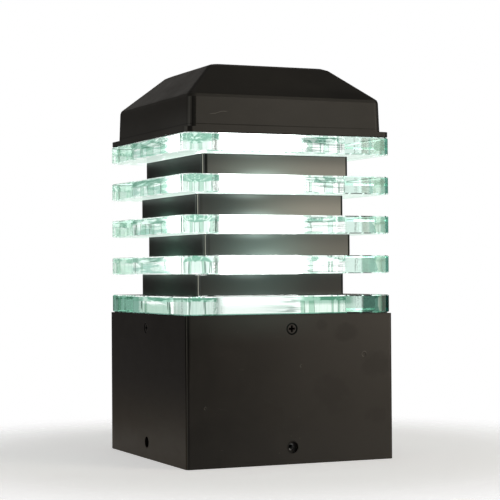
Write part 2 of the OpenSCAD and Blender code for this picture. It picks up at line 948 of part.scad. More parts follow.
module earth_screw() {
    color("gainsboro")
        translate([earth_x, earth_y, deck_under_z - lug_t])
            rotate([180, 0, 0])
                pan_head_screw(small_screw_d, small_head_d, small_head_h, lug_t + pan_t - fit);
}

// Opal globe, open below, with a rounded end
module bulb_globe() {
    height = globe_top - globe_z;
    inner_r = globe_d / 2 - globe_t;
    color("white")
        translate([0, 0, globe_z])
            rotate_extrude()
                difference() {
                    globe_section(globe_d / 2, height, globe_edge_r);
                    translate([0, -overrun])
                        globe_section(inner_r, height - globe_t + overrun, globe_edge_r - globe_t);
                }
}

// Half section of a cylinder with a rounded top rim
module globe_section(r, h, edge_r) {
    square([r, h - edge_r]);
    square([r - edge_r, h]);
    translate([r - edge_r, h - edge_r])
        intersection() {
            circle(edge_r);
            square(edge_r);
        }
}

// White plastic body that flares from the screw cap to the globe
module bulb_body() {
    color("white")
        translate([0, 0, collar_z])
            rotate_extrude()
                polygon([
                    [0, 0], [collar_d / 2, 0], [collar_d / 2, flare_z - collar_z],
                    [globe_d / 2, globe_z - collar_z], [0, globe_z - collar_z],
                ]);
}

module bulb_screw_cap() {
    color("lightgray")
        translate([0, 0, screw_cap_z]) {
            cylinder(h = screw_cap_cone_h, d1 = insulator_top_d, d2 = screw_cap_d);
            translate([0, 0, screw_cap_cone_h])
                cylinder(h = collar_z - screw_cap_z - screw_cap_cone_h, d = screw_cap_d);
        }
}

module bulb_insulator() {
    color("#101014")
        translate([0, 0, insulator_z])
            cylinder(h = insulator_h, d1 = tip_d, d2 = insulator_top_d);
}

module bulb_tip() {
    color("silver")
        translate([0, 0, tip_z])
            cylinder(h = tip_h, d = tip_d);
}

// Round board with its diodes, at the foot of the globe
module led_board() {
    color("whitesmoke")
        translate([0, 0, globe_z])
            cylinder(h = board_t, d = globe_d - 2 * globe_t - 2 * pan_gap);
}

mounting_bracket();
bracket_nuts();
cable_grommet();
base_skirt();
deck_pan();
side_screws();
deck_gasket();
glass_plate(0);  // glass_plate_1
glass_plate(1);  // glass_plate_2
glass_plate(2);  // glass_plate_3
glass_plate(3);  // glass_plate_4
glass_plate(4);  // glass_plate_5
spacer_frame(0);  // spacer_frame_1
spacer_frame(1);  // spacer_frame_2
spacer_frame(2);  // spacer_frame_3
spacer_frame(3);  // spacer_frame_4
spacer_gaskets();
cap_gasket();
cap();
clamping_bolts();
bolt_washers();
holder_bridge();
bridge_screws();
holder_body();
holder_shell();
holder_contact();
holder_screws();
terminal_block();
terminal_barrels();
terminal_screws();
block_screws();
live_lead();
neutral_lead();
earth_lead();
earth_lug();
earth_screw();
bulb_globe();
bulb_body();
bulb_screw_cap();
bulb_insulator();
bulb_tip();
led_board();
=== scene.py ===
"""Square gate light, lit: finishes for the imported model, studio and camera."""
import math
from functools import reduce
from types import SimpleNamespace

import bpy
from mathutils import Matrix, Vector


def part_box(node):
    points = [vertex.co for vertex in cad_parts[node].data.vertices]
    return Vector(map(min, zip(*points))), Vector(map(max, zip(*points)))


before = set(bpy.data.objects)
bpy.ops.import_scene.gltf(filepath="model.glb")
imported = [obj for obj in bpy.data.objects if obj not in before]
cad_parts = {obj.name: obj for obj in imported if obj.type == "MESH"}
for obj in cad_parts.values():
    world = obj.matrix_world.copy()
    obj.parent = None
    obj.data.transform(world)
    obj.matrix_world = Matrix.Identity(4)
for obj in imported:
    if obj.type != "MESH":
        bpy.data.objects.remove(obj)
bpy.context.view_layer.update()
MM = 0.001
BLACK, WHITE = (0, 0, 0), (1, 1, 1)
UNLIT, SPECK, SCRATCH = (0.0006, 0.0006, 0.0005), (0.13, 0.12, 0.105), (0.11, 0.1, 0.09)

# Places that the finishes follow, in millimetres, read from the model
BASE_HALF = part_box("base_skirt")[1].x / MM
CAP_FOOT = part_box("cap")[0].z / MM
GLOBE_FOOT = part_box("bulb_globe")[0].z / MM
PLATE_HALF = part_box("glass_plate_1")[1].x / MM
PLATE_FOOT, PLATE_TOP = (corner.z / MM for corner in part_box("glass_plate_1"))
PLATE_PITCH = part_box("glass_plate_2")[0].z / MM - PLATE_FOOT
# Half the width of the plates' openings, which no box shows
OPENING_HALF = 49


def middle_height(node):
    """Height of the middle of a CAD node, in millimetres."""
    low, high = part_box(node)
    return (low.z + high.z) / 2 / MM


# Shader maths
class Value:
    """A shader socket that takes plain arithmetic."""

    def __init__(self, graph, socket):
        self.graph = graph
        self.socket = socket

    def maths(self, operation, *others):
        """One Math node, with this value first."""
        values = dict(enumerate((self,) + others))
        return self.graph.node("ShaderNodeMath", {"operation": operation}, values)

    def __add__(self, other):
        return self.maths("ADD", other)

    def __sub__(self, other):
        return self.maths("SUBTRACT", other)

    def __rsub__(self, other):
        return self.graph.node("ShaderNodeMath", {"operation": "SUBTRACT"}, {0: other, 1: self})

    def __mul__(self, other):
        return self.maths("MULTIPLY", other)

    def __truediv__(self, other):
        return self.maths("DIVIDE", other)

    def __neg__(self):
        return self.maths("MULTIPLY", -1)

    def __abs__(self):
        return self.maths("ABSOLUTE")

    __radd__ = __add__
    __rmul__ = __mul__

    def least(self, other):
        return self.maths("MINIMUM", other)

    def most(self, other):
        return self.maths("MAXIMUM", other)

    def rise(self, low, high):
        """0 below low, 1 above high, smooth between; low may be above high."""
        values = {"Value": self, "From Min": low, "From Max": high}
        if low > high:
            values = {"Value": self, "From Min": high, "From Max": low, "To Min": 1, "To Max": 0}
        return self.graph.node("ShaderNodeMapRange", {"interpolation_type": "SMOOTHSTEP"}, values)

    def near(self, middle, half, soft):
        """1 within half of middle, 0 beyond another soft."""
        return abs(self - middle).rise(half + soft, half)

    def bell(self, width):
        """1 at 0 and a smooth bell around it."""
        return (self * self * (-1 / width ** 2)).maths("EXPONENT")


def most_of(values):
    """The highest of several values."""
    return reduce(Value.most, values)


def length(first, second):
    """Length of two sides at a right angle."""
    return (first * first + second * second).maths("SQRT")


def shaded(tone, factor):
    """A colour made lighter or darker."""
    return tuple(c * factor for c in tone)


class Graph:
    """A node tree and the ways to add nodes to it."""

    def __init__(self, tree):
        self.tree = tree

    def node(self, kind, settings=None, values=None, output=0):
        """Adds a node: its settings first, then the values or links of its sockets."""
        made = self.tree.nodes.new(kind)
        for name, value in (settings or {}).items():
            setattr(made, name, value)
        for name, value in (values or {}).items():
            self.join(made.inputs[name], value)
        return Value(self, made.outputs[output])

    def join(self, socket, value):
        """Links a value to a socket, or sets the socket to a number or colour."""
        if isinstance(value, Value):
            self.tree.links.new(value.socket, socket)
        elif isinstance(value, tuple) and len(value) == 3 and socket.type == "RGBA":
            socket.default_value = value + (1,)
        else:
            socket.default_value = value

    def ray(self, kind):
        """1 for rays of one kind: Camera, Transmission or Glossy."""
        return self.node("ShaderNodeLightPath", output=f"Is {kind} Ray")

    def blend(self, factor, first, second):
        """Shader from first to second."""
        return self.node("ShaderNodeMixShader", {}, {0: factor, 1: first, 2: second})


class Finish(Graph):
    """One material: its shader and the nodes that feed it."""

    def __init__(self, name):
        self.material = bpy.data.materials.new(name)
        self.material.use_nodes = True
        super().__init__(self.material.node_tree)
        self.shader = self.tree.nodes["Principled BSDF"]
        self.output = self.tree.nodes["Material Output"]
        self.where = self.place()

    def feed(self, socket, value):
        """Sets or links one socket of the shader."""
        self.join(self.shader.inputs[socket], value)

    def glow(self, colour, strength=1.0):
        """Light that the surface gives off."""
        self.feed("Emission Color", colour)
        self.feed("Emission Strength", strength)

    def place(self):
        """Object coordinates in millimetres, as a vector."""
        there = self.node("ShaderNodeTexCoord", output="Object")
        return self.node("ShaderNodeVectorMath", {"operation": "SCALE"}, {0: there, "Scale": 1 / MM})

    def axes(self, vector):
        """The three coordinates of a vector."""
        apart = self.node("ShaderNodeSeparateXYZ", {}, {0: vector})
        return [Value(self, socket) for socket in apart.socket.node.outputs]

    def facing(self):
        """The three parts of the surface's normal."""
        return self.axes(self.node("ShaderNodeNewGeometry", output="Normal"))

    def outside(self):
        """1 where a surface is seen from its outer side."""
        return 1 - self.node("ShaderNodeNewGeometry", output="Backfacing")

    def stretched(self, place, x=1, y=1, z=1, shift=(0, 0, 0), turn=(0, 0, 0)):
        """The place scaled, turned and shifted, for a drawn-out pattern."""
        values = {"Vector": place, "Location": shift, "Rotation": turn, "Scale": (x, y, z)}
        return self.node("ShaderNodeMapping", {}, values)

    def noise(self, place, grain, detail=2.0, rough=0.5, twist=0.0):
        """Cloudy pattern with lumps of about grain millimetres, around 0.5."""
        return self.node("ShaderNodeTexNoise", {}, {
            "Vector": place,
            "Scale": 1 / grain,
            "Detail": detail,
            "Roughness": rough,
            "Distortion": twist,
        })

    def cells(self, place, grain):
        """Distance to the nearest of points about grain millimetres apart."""
        return self.node("ShaderNodeTexVoronoi", {"feature": "F1"}, {"Vector": place, "Scale": 1 / grain})

    def mix(self, factor, first, second, blend="MIX"):
        """Colour from first to second."""
        settings = {"data_type": "RGBA", "blend_type": blend}
        return self.node("ShaderNodeMix", settings, {0: factor, 6: first, 7: second}, output=2)

    def bump(self, height, depth):
        """Normal of a surface that rises by depth millimetres where height is 1."""
        return self.node("ShaderNodeBump", {}, {"Height": height, "Strength": 1.0, "Distance": depth * MM})


def dress(node, finish):
    """Gives a CAD node its finish."""
    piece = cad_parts[node]
    piece.data.materials.clear()
    piece.data.materials.append(finish.material)


# Painted metal
class Coat(Finish):
    """Satin coat on steel with specks and scratches; its layers stay open until close links them."""

    def __init__(self, name, tone, gloss, peel, seed=0.0, sheen=0.5):
        super().__init__(name)
        self.peel = peel
        self.black = None
        shifted = self.stretched(self.where, shift=(seed, -seed, 2 * seed))
        wiped = self.stretched(shifted, 0.4, 0.4, 1, turn=(0.3, 0.5, 0.2))
        drawn = self.stretched(shifted, 0.05, 0.05, 1.6, turn=(0.5, 0.9, 0.4))
        cloud = self.noise(shifted, 34, detail=3, rough=0.55, twist=0.4)
        wipe = self.noise(wiped, 9, detail=3, rough=0.6, twist=0.3)
        grain = self.noise(shifted, 0.55)
        streak = self.noise(drawn, 1.3, detail=1, rough=0.4)
        speckled = self.noise(shifted, 21, detail=1).rise(0.52, 0.58)
        scratched = self.noise(shifted, 15, detail=1).rise(0.64, 0.69)
        specks = self.cells(shifted, 7.5).rise(0.07, 0.03) * speckled
        scratch = streak.near(0.5, 0.002, 0.004) * scratched
        colour = self.mix(cloud.rise(0.3, 0.7), shaded(tone, 0.8), shaded(tone, 1.18))
        colour = self.mix(specks * 0.4, colour, SPECK)
        self.colour = self.mix(scratch * 0.4, colour, SCRATCH)
        self.rough = gloss + (cloud - 0.5) * 0.12 + (wipe - 0.5) * 0.1 + specks * 0.15
        self.height = grain + specks * 2 - scratch * 0.6
        self.feed("Specular IOR Level", sheen)

    def close(self):
        """Links colour, roughness and height to the shader; black places reflect nothing,
        as painted shade, and on the cap as its dark parting line.
        """
        if self.black is not None:
            self.colour = self.mix(self.black, self.colour, UNLIT)
            self.feed("Metallic", self.black)
        self.feed("Base Color", self.colour)
        self.feed("Roughness", self.rough)
        self.feed("Normal", self.bump(self.height, self.peel))
        return self


# Finger marks on the base's front: across, height, half width, half height
FINGER_MARKS = (
    (40, 86, 9, 6), (64, 64, 13, 8), (28, 47, 12, 13), (22, 91, 4, 4), (-15, 30, 9, 11), (62, 30, 8, 6),
)
# Small dents in the base's front, each with a painted highlight on the left of its rim: across, height,
# radius
DENTS = ((53.2, 71.2, 1.7), (6.6, 64.5, 0.9), (-62, 39, 0.8))
# A dent's rim stands this many times higher than the coat's grain
DENT_RIM = 14


def base_finish():
    """The base's coat: finger marks and dents, and painted light, shade and highlights on it."""
    coat = Coat("satin_base_coat", (0.0145, 0.0128, 0.0108), gloss=0.34, peel=0.005, sheen=0.42)
    x, y, z = coat.axes(coat.where)
    across = abs(x).least(abs(y))
    front, left = (axis.rise(5 - BASE_HALF, 1 - BASE_HALF) for axis in (y, x))

    # Painted shade: dark rings round the screw heads and the fixing holes, the upper part of the left side
    # and the near part of the front reflect nothing.
    shade_rings = []
    for node, radius, share in (("side_screws", 3.65, 1.0), ("bracket_nuts", 4.0, 0.35)):
        off = length(across, z - middle_height(node))
        shade_rings.append(off.near(radius, 0.28, 0.25) * share)
    upper_left_shade = left * z.rise(15, 90)
    near_side_shade = x.rise(10, -72) * front
    coat.black = most_of(shade_rings).most(upper_left_shade * 0.6).most(near_side_shade * 0.2)

    warp = coat.noise(coat.where, 7)
    spots = []
    for mark_x, mark_z, half_width, half_height in FINGER_MARKS:
        dx, dz = (x - mark_x) / half_width, (z - mark_z) / half_height
        spots.append((dx * dx + dz * dz + (warp - 0.5) * 2.6).rise(1.6, 0.2))
    marks = most_of(spots) * front
    # Painted light: the front is paler towards its upper right.
    painted_light_right = (x + z * 0.6).rise(-60, 130) * front
    # Painted highlight down the near upright corner, stronger higher up.
    edge_highlight = (abs(x) - abs(y)).near(0, 0.35, 0.3) * across.rise(BASE_HALF - 2, BASE_HALF - 1.4)
    coat.colour = coat.mix(painted_light_right, coat.colour, (0.029, 0.025, 0.02))
    coat.colour = coat.mix(marks * 0.48, coat.colour, (0.0085, 0.006, 0.003))
    coat.colour = coat.mix(edge_highlight * (0.2 + z.rise(55, 75) * 0.32), coat.colour, (0.17, 0.175, 0.155))
    coat.rough = coat.rough + marks * 0.07

    for dent_x, dent_z, radius in DENTS:
        off = length(x - dent_x, z - dent_z)
        # Painted highlight on the left of the dent's rim
        dent_highlight = off.near(radius, 0.05, 0.3) * front * (x - dent_x).rise(0.6, -0.6)
        coat.height = coat.height + off.near(radius, 0.15, 0.35) * front * DENT_RIM
        coat.colour = coat.mix(dent_highlight, coat.colour, (0.09, 0.085, 0.075))

    # Painted light: a warm glow low on the outer left side, and green light from the glass along the top of
    # the front.
    outer_left = coat.facing()[0].rise(-0.8, -0.95) * x.rise(1 - BASE_HALF, 0.4 - BASE_HALF)
    warm = coat.mix(z.rise(60, 5), (0.0005, 0.0, 0.0), (0.0085, 0.005, 0.001))
    glass_light_spill = z.rise(78, 99) * front * (x + 22).bell(38)
    coat.glow(coat.mix(glass_light_spill, coat.mix(outer_left, BLACK, warm), (0.011, 0.016, 0.0135)))
    return coat.close()


def cap_finish():
    """The cap's coat: parting line low on its walls, front scratch, and painted light and shade, also at
    its bends.
    """
    coat = Coat("satin_cap_coat", (0.019, 0.0183, 0.0152), gloss=0.46, peel=0.007, seed=31, sheen=0.46)
    x, y, z = coat.axes(coat.where)
    side, ahead, up = coat.facing()
    front = y.rise(-60, -66)
    seam_darkening = z.near(CAP_FOOT + 5.4, 0.2, 0.25)
    # Painted shade: the left slope, the dark part of the near bend and the right part of the front reflect
    # nothing.
    left_slope_shade = side.rise(-0.3, -0.5) * up.rise(0.3, 0.5)
    near_bend = ahead.rise(-0.2, -0.3) * up.rise(0.25, 0.15)
    bend_shade = near_bend * (-side).near(0.31, 0.22, 0.06)
    bend_highlight = near_bend * (-side).near(0.8, 0.11, 0.06)
    far_side_shade = x.rise(-20, 60) * front
    coat.black = most_of((seam_darkening * 0.5, left_slope_shade * 0.55, far_side_shade * 0.25, bend_shade * 0.55))

    # Painted light from the glass low on the left wall, and a painted highlight on the pale part of the
    # near bend.
    glass_light_spill = side.rise(-0.6, -0.9) * z.rise(CAP_FOOT + 20, CAP_FOOT + 3) * (0.5 + y.rise(0, -55) * 0.5)
    glow = coat.mix(glass_light_spill, BLACK, (0.009, 0.009, 0.0082))
    coat.glow(coat.mix(bend_highlight, glow, (0.013, 0.013, 0.0115), "ADD"))

    scratch_x, scratch_z, slope = -49.5, 229.4, 0.13
    bend = coat.noise(coat.where, 9) * 3
    line = (z - scratch_z - (x - scratch_x - 0.5) * slope - bend).near(0, 0.12, 0.22)
    scratch = line * x.near(scratch_x, 4.5, 3) * front
    coat.colour = coat.mix(scratch * 0.6, coat.colour, (0.13, 0.125, 0.115))
    return coat.close()


def screw_finish():
    """Blackened screw, with painted shade in its cross recess, round its head and where it sits sunk."""
    coat = Coat("black_screw_finish", (0.02, 0.018, 0.016), gloss=0.36, peel=0.004, seed=57)
    x, y, z = coat.axes(coat.where)
    across = abs(x).least(abs(y))
    above = abs(z - middle_height("side_screws"))
    upright = across.rise(0.9, 0.6) * above.rise(2.4, 2.1)
    level = above.rise(0.9, 0.6) * across.rise(2.4, 2.1)
    rim = (across * across + above * above).rise(8.2, 9.4)
    sunk = abs(x).most(abs(y)).rise(BASE_HALF - 0.42, BASE_HALF - 0.55)
    # Painted shade: the cross recess, a ring round the head and the parts sunk in the wall reflect nothing.
    coat.black = most_of((sunk, upright.most(level) * 0.9, rim * 0.85))
    return coat.close()


def spacer_finish(
    number, warm, lit_from, cool, halo_low, halo_high, top_shade, seam_shade, faint_line, overall_shade, left_shade
):
    """Coated strip with a bare cut end at the near left corner, and painted light spilling from the glass.

    The cut end also glows with a painted highlight. warm, cool and the halos are strengths of the painted
    light, and top_shade takes it off the upper part. lit_from is where the warm part starts, as a share of
    half the width. faint_line is the strength of a painted pale line of light on the left side. seam_shade,
    left_shade and dull are painted shade: shares that reflect nothing, dull over the whole frame.
    """
    name, seed = f"satin_spacer_coat_{number}", 11 * number
    coat = Coat(name, (0.021, 0.02, 0.018), gloss=0.36, peel=0.004, seed=seed, sheen=0.6)
    x, y, z = coat.axes(coat.where)
    low, high = (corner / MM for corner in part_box(f"spacer_frame_{number}"))
    half = (high.x - low.x) / 2
    u = x - (low.x + high.x) / 2
    v = y - (low.y + high.y) / 2
    front, left = (axis.rise(1 - half, 0.4 - half) for axis in (v, u))
    front_or_back = (abs(v) - abs(u)).rise(-0.5, 0.5)
    along = u * front_or_back + v * (1 - front_or_back)
    share_up = (z - low.z) / (high.z - low.z)
    unshaded = 1 - share_up.rise(0.2, 1.05) * top_shade

    # Painted light from the glass: a broad cool glow, halos by the plates below and above, a glow along the
    # top and bottom and warm light on the front, greener and darker on the left side.
    spread = (along + 10 * front).bell(30) * (0.3 + 0.7 * front) * unshaded
    from_low = (z - low.z).bell(3.2) * (along + 11 * front).bell(15) * halo_low
    from_high = (high.z - z).bell(2.6) * (along + 18 * front).bell(13) * halo_high
    edge_glow = (z - low.z).bell(1.6).most((high.z - z).bell(1.6))
    lit = along.rise(half * lit_from, half * 0.65) * front * unshaded
    glow = coat.mix(spread, BLACK, shaded((0.42, 0.74, 0.64), cool))
    glow = coat.mix((from_low + from_high) * (0.5 + 0.5 * front), glow, (0.62, 0.8, 0.74), "ADD")
    glow = coat.mix(edge_glow, glow, (0.01, 0.016, 0.013), "ADD")
    glow = coat.mix(lit, glow, shaded((0.215, 0.2, 0.158), warm), "ADD")
    glow = coat.mix(left, glow, (0.42, 0.7, 0.56), "MULTIPLY")

    # The cut end is bare metal that also glows with a painted highlight; painted shade lies beside the
    # corner slit and at the far bend, and a painted pale line of light runs on the left side.
    cut = u.near(0.5 - half, 0.1, 0.18) * front
    seam_darkening = u.near(2.6 - half, 1.1, 0.5) * front * seam_shade
    faint = v.near(2.4 - half, 0.25, 0.5) * left * faint_line
    far_bend = u.rise(half - 2.4, half - 1.9)
    glow = coat.mix(seam_darkening.most(far_bend * 0.96), glow, (0.004, 0.006, 0.005))
    glow = coat.mix(cut, glow, (0.32, 0.33, 0.28), "ADD")
    glow = coat.mix(faint, glow, (0.09, 0.11, 0.095), "ADD")
    coat.glow(glow)
    coat.colour = coat.mix(cut, coat.colour, (0.42, 0.41, 0.37))
    # Painted shade: these places reflect nothing, and on some frames a share of the whole frame too.
    coat.black = most_of((seam_darkening, far_bend, left * left_shade)).most(overall_shade)
    return coat.close()


# Light and shade on the four spacer frames, the lowest frame first
SPACER_LIGHT = (
    dict(warm=0.0, lit_from=-1.0, cool=0.07, halo_low=0.02, halo_high=0.14,
         top_shade=0.0, seam_shade=0.1, faint_line=0.3, overall_shade=0.32, left_shade=0.72),
    dict(warm=0.38, lit_from=-0.9, cool=0.2, halo_low=0.17, halo_high=0.26,
         top_shade=0.35, seam_shade=0.3, faint_line=1.0, overall_shade=0.15, left_shade=0.76),
    dict(warm=0.95, lit_from=-0.7, cool=0.1, halo_low=0.3, halo_high=0.22,
         top_shade=0.45, seam_shade=0.3, faint_line=1.0, overall_shade=0.15, left_shade=0.78),
    dict(warm=0.7, lit_from=-1.5, cool=0.12, halo_low=0.34, halo_high=0.05,
         top_shade=0.6, seam_shade=0.9, faint_line=0.3, overall_shade=0.0, left_shade=0.87),
)

base_coat = base_finish()
cap_coat = cap_finish()
screw_coat = screw_finish()
bracket_tone = (0.006, 0.0055, 0.005)
bracket_coat = Coat("satin_bracket_coat", bracket_tone, gloss=0.55, peel=0.005, seed=83, sheen=0.3).close()
spacer_coats = [spacer_finish(k, **light) for k, light in enumerate(SPACER_LIGHT, 1)]


# Glass
def plate_masks(finish):
    """Places and patterns on the plates that the glass's parts share.

    along runs round a plate, the same way on every side, from the middle of that side.
    """
    place, half = finish.where, PLATE_HALF
    x, y, z = finish.axes(place)
    far, side = abs(x).most(abs(y)), abs(x).least(abs(y))
    front_back = (abs(y) - abs(x)).rise(-0.5, 0.5)
    sides = 1 - front_back
    height = (z - PLATE_FOOT + PLATE_PITCH).maths("MODULO", PLATE_PITCH)
    ragged = finish.noise(finish.stretched(place, 0.4, 0.12, shift=(0, -13.7, 0)), 3.0, rough=0.6)
    striped = finish.stretched(place, y=0.4, z=0.06, shift=(0, -29.4, 0))
    return SimpleNamespace(
        x=x,
        y=y,
        z=z,
        side=side,
        front_back=front_back,
        sides=sides,
        along=y * x.maths("SIGN") * sides - x * y.maths("SIGN") * front_back,
        height=height,
        lower=(height + (ragged - 0.5) * 2).rise(8.6, 8.0),
        lowest=z.rise(PLATE_TOP + 2, PLATE_TOP + 1),
        wall=far.rise(OPENING_HALF + 1.5, OPENING_HALF + 0.4),
        near_rim=far.rise(half - 5, half - 3),
        at_rim=far.rise(half - 3, half - 2.4),
        turned_edge=(x - y).rise(2 * half - 9.5, 2 * half - 7.5),
        up=finish.facing()[2],
        outside=finish.outside(),
        grind=finish.noise(place, 1.0, rough=0.6),
        streaks=finish.noise(finish.stretched(place, 0.06, 0.06), 1.2),
        stripes=finish.noise(striped, 1.3, detail=3, rough=0.6),
    )


def opening_light(finish, plate):
    """Painted lamp light on the opening's ground walls: green and blotchy above, pale with bars below."""
    place = finish.where
    blotted = finish.stretched(place, y=0.25, z=1.6, shift=(31, -23.75, 7))
    blots = finish.noise(blotted, 10, rough=0.55, twist=0.8)
    bars = finish.noise(finish.stretched(place, y=0.4, z=0.05, shift=(0, -29.4, 0)), 6, rough=0.55)
    light_streak_noise = finish.noise(finish.stretched(place, 0.06, 0.06, shift=(5, 9, 2)), 1.4)
    bar_gap = bars.near(0.465, 0.006, 0.012)
    pale = finish.mix(bars.rise(0.45, 0.48), (0.54, 0.71, 0.62), WHITE)
    pale = finish.mix(plate.stripes.rise(0.5, 0.68) * 0.25, pale, (0.30, 0.46, 0.38))
    pale = finish.mix(bar_gap * 0.75, pale, (0.02, 0.07, 0.05))
    green = finish.mix(blots.rise(0.46, 0.56), (0.19, 0.42, 0.32), (0.85, 1.0, 0.93))
    light = finish.mix(plate.lower, green, pale)
    streaked = light_streak_noise.rise(0.42, 0.6) * plate.x.rise(-25, 5)
    lit = finish.mix(streaked, (0.66, 0.7, 0.68), (0.47, 0.55, 0.51))
    front_wall = plate.y.rise(1 - OPENING_HALF, -OPENING_HALF)
    light = finish.mix(plate.lowest * abs(plate.x + 20).rise(34, 27) * front_wall, light, lit)
    corner = plate.side.rise(OPENING_HALF - 4, OPENING_HALF - 2.6)
    return finish.mix(corner * plate.grind.rise(0.42, 0.58) * 0.4, light, (0.05, 0.12, 0.09))


def painted_rim_shade(finish, plate):
    """Painted shade and refraction seen through the polished rim, laid one after another over clear glass.
    """
    along, lowest, front_back, sides = plate.along, plate.lowest, plate.front_back, plate.sides
    second_top = PLATE_TOP + PLATE_PITCH
    next_lowest = plate.z.rise(second_top + 2, second_top + 1) - lowest
    under_half = plate.height.rise(7.5, 5)
    bands = finish.noise(finish.stretched(finish.where, 0.07, 0.07, 0.6), 2.2, twist=0.3)
    # Where the opening's corners and the dark blocks beside them show, along a side
    corner_line, inner_line, block, end_from = 54.4, 50, 56.8, 57

    soft = plate.streaks.rise(0.48, 0.6) * along.near(16, 18, 10)
    toned = along.rise(45, 38) * (1 - along.rise(-57, -65) * 0.6) * (0.2 + under_half * 0.55)
    banded = bands.rise(0.47, 0.56) * along.near(10, 34, 8)
    bar = abs(along).near(corner_line, 1.3, 0.4) * (plate.grind + plate.stripes).rise(0.9, 1.08)
    bar = bar.most(along.near(corner_line, 1.9, 0.4) * 0.7)
    line = abs(along).near(inner_line, 0.15, 0.3) * plate.grind.rise(0.45, 0.55)
    near_front = front_back * plate.y.rise(1, -1) * along.rise(-46, -54)
    near_end = (near_front + sides * along.rise(50, 56)) * (0.7 + 0.3 * plate.stripes)
    far_end = front_back * along.rise(49.5, 53.5) + sides * along.rise(-53, -58) * 0.6

    dim = finish.mix(under_half, (0.1, 0.21, 0.15), (0.4, 0.52, 0.44))
    near_tone = finish.mix(front_back, (0.1, 0.19, 0.145), (0.15, 0.24, 0.195))
    rim_shade = WHITE
    for share, tone in (
        # On every plate, or on all but the lowest
        (soft * 0.75, (0.02, 0.07, 0.05)),
        (sides * toned, (0.3, 0.52, 0.43)),
        (sides * banded * 0.75, (0.1, 0.3, 0.22)),
        (bar * 0.8, (0.12, 0.13, 0.1)),
        (line * 0.6, (0.1, 0.18, 0.14)),
        (front_back * along.near(block, 3.4, 1) * 0.8, (0.3, 0.3, 0.25)),
        (sides * (1 - lowest) * along.near(-48, 5, 2) * 0.4, (0.35, 0.45, 0.39)),
        (along.rise(end_from, end_from + 2) * (0.4 + front_back * 0.6), (0.22, 0.34, 0.29)),
        (near_front * along.rise(-end_from, -end_from - 3) * 0.25, (0.33, 0.43, 0.39)),
        # On the two lowest plates
        (lowest * front_back * along.near(26, 16, 10), dim),
        (lowest * sides * along.near(17, 28, 6) * (0.3 + under_half * 0.7), (0.16, 0.3, 0.22)),
        (lowest * sides * along.rise(-8, -16), (0.03, 0.105, 0.07)),
        (lowest * near_end, near_tone),
        (lowest * far_end, (0.007, 0.026, 0.018)),
        (next_lowest * far_end * 0.8, (0.1, 0.23, 0.17)),
        # At the near right corner, where the rim turns
        (plate.turned_edge, (0.02, 0.1, 0.07)),
        (plate.turned_edge * lowest, (0.0, 0.006, 0.004)),
    ):
        rim_shade = finish.mix(share, rim_shade, tone)
    return rim_shade


def plate_glass():
    """Float glass: clear polished rims with painted shade, and ground walls that glow with painted lamp
    light.
    """
    finish = Finish("green_float_glass")
    plate = plate_masks(finish)
    # Painted light: the rims' bevels glow where seen from inside the glass, and the plates' undersides
    # glow, less on the lowest plate.
    bevel = abs(plate.up).near(0.7, 0.15, 0.1) * (1 - plate.outside) * plate.near_rim
    under = plate.up.rise(-0.6, -0.9) * plate.outside * (1 - plate.lowest * 0.85)
    finish.glow(finish.mix(under, finish.mix(bevel, BLACK, (0.4, 0.55, 0.48)), (0.6, 0.72, 0.66)))

    # Painted shade on the rim, a painted dark lower bevel on the lowest plate, and its turned corner made
    # partly metallic for painted shade.
    rim = plate.at_rim * abs(plate.up).rise(0.25, 0.1)
    foot_bevel = plate.lowest * plate.near_rim * plate.up.near(-0.7, 0.25, 0.1)
    rim_with_shade = finish.mix(rim, WHITE, painted_rim_shade(finish, plate))
    finish.feed("Base Color", finish.mix(foot_bevel, rim_with_shade, (0.03, 0.1, 0.07)))
    finish.feed("Metallic", plate.turned_edge * plate.lowest * 0.6)
    finish.feed("Transmission Weight", 1.0)
    finish.feed("IOR", 1.52)
    finish.feed("Roughness", plate.wall * (0.12 + plate.grind * 0.25))
    ground = (plate.grind * 0.4 + plate.stripes * plate.lower + plate.streaks * 0.8) * plate.wall
    finish.feed("Normal", finish.bump(finish.noise(finish.where, 16) * 0.1 + ground, 0.2))

    # The ground walls' shader: rough and dark, with painted lamp light as its glow.
    frosted_glow = finish.node("ShaderNodeBsdfPrincipled", {}, {
        "Base Color": (0.02, 0.03, 0.025),
        "Roughness": 0.6,
        "Emission Color": opening_light(finish, plate),
        "Emission Strength": 1.5,
    })
    clear = Value(finish, finish.shader.outputs[0])
    body_tint = finish.node("ShaderNodeVolumeAbsorption", {}, {"Color": (0.45, 0.85, 0.69), "Density": 3.4})
    whole = finish.blend(plate.wall * (0.6 + plate.lowest * 0.35), clear, frosted_glow)
    finish.join(finish.output.inputs["Surface"], whole)
    finish.join(finish.output.inputs["Volume"], body_tint)
    return finish


glass = plate_glass()


# Lamp and fittings
def lamp_finish():
    """Glowing opal diffuser, a little dimmer at its foot."""
    finish = Finish("lit_opal_diffuser")
    height = finish.axes(finish.where)[2] - GLOBE_FOOT
    cloud = finish.noise(finish.where, 12)
    finish.feed("Base Color", finish.mix(cloud, (0.86, 0.86, 0.84), (0.93, 0.93, 0.91)))
    finish.feed("Roughness", 0.35 + cloud * 0.1)
    finish.glow(finish.mix(height.rise(-4.2, 11.8), (0.55, 0.6, 0.58), (0.96, 1.0, 0.985)), strength=9.0)
    return finish


def plain(name, light, dark, rough, metal=0.0, grain=4.0, depth=0.004):
    """Small fitting: slight colour change, worn gloss and fine bump."""
    finish = Finish(name)
    cloud = finish.noise(finish.where, grain, detail=3, rough=0.6)
    fine = finish.noise(finish.where, grain / 7)
    finish.feed("Base Color", finish.mix(cloud.rise(0.3, 0.7), dark, light))
    finish.feed("Roughness", rough + (fine - 0.5) * 0.2)
    finish.feed("Metallic", metal)
    finish.feed("Normal", finish.bump(fine, depth))
    return finish


